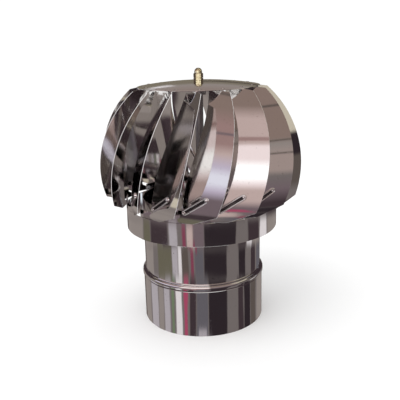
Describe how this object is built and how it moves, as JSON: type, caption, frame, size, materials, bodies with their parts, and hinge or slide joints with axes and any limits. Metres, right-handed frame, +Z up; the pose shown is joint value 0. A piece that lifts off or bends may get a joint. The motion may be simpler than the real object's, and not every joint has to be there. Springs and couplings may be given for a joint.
{
  "type": "roof turbine ventilator",
  "caption": "Wind-driven roof turbine ventilator in polished sheet steel: a round bladed head turning on a flue socket.",
  "frame": {"origin": "on the axis at the foot of the flue socket", "axes": "+Z up along the rotor axis, -Y towards the front"},
  "size_m": [0.2414, 0.2414, 0.3101],
  "materials": {
    "polished_steel": "mirror-polished stainless sheet",
    "turned_steel": "turned and zinc-plated steel",
    "bearing_steel": "ground bearing steel",
    "brass": "bright brass"
  },
  "bodies": {
    "base": {"flue_neck": "polished_steel", "bridge_lower": "polished_steel", "bridge_upper": "polished_steel", "bearing_housing": "turned_steel", "lower_bearing_outer": "bearing_steel", "upper_bearing_outer": "bearing_steel"},
    "rotor": {"spindle": "turned_steel", "spindle_circlip": "turned_steel", "lower_bearing_inner": "bearing_steel", "upper_bearing_inner": "bearing_steel", "cap_hub": "turned_steel", "cap": "polished_steel", "collar": "polished_steel", "vane_01": "polished_steel", "vane_02": "polished_steel", "vane_03": "polished_steel", "vane_04": "polished_steel", "vane_05": "polished_steel", "vane_06": "polished_steel", "vane_07": "polished_steel", "vane_08": "polished_steel", "vane_09": "polished_steel", "vane_10": "polished_steel", "vane_11": "polished_steel", "vane_12": "polished_steel", "vane_13": "polished_steel", "vane_14": "polished_steel", "vane_15": "polished_steel", "vane_16": "polished_steel", "vane_stays": "polished_steel", "lock_nut": "brass", "acorn_nut": "brass"}
  },
  "joints": [
    {"name": "rotor_spin", "type": "hinge", "parent": "base", "child": "rotor", "pos_m": [0, 0, 0.13], "axis": [0, 0, 1], "continuous": true}
  ]
}
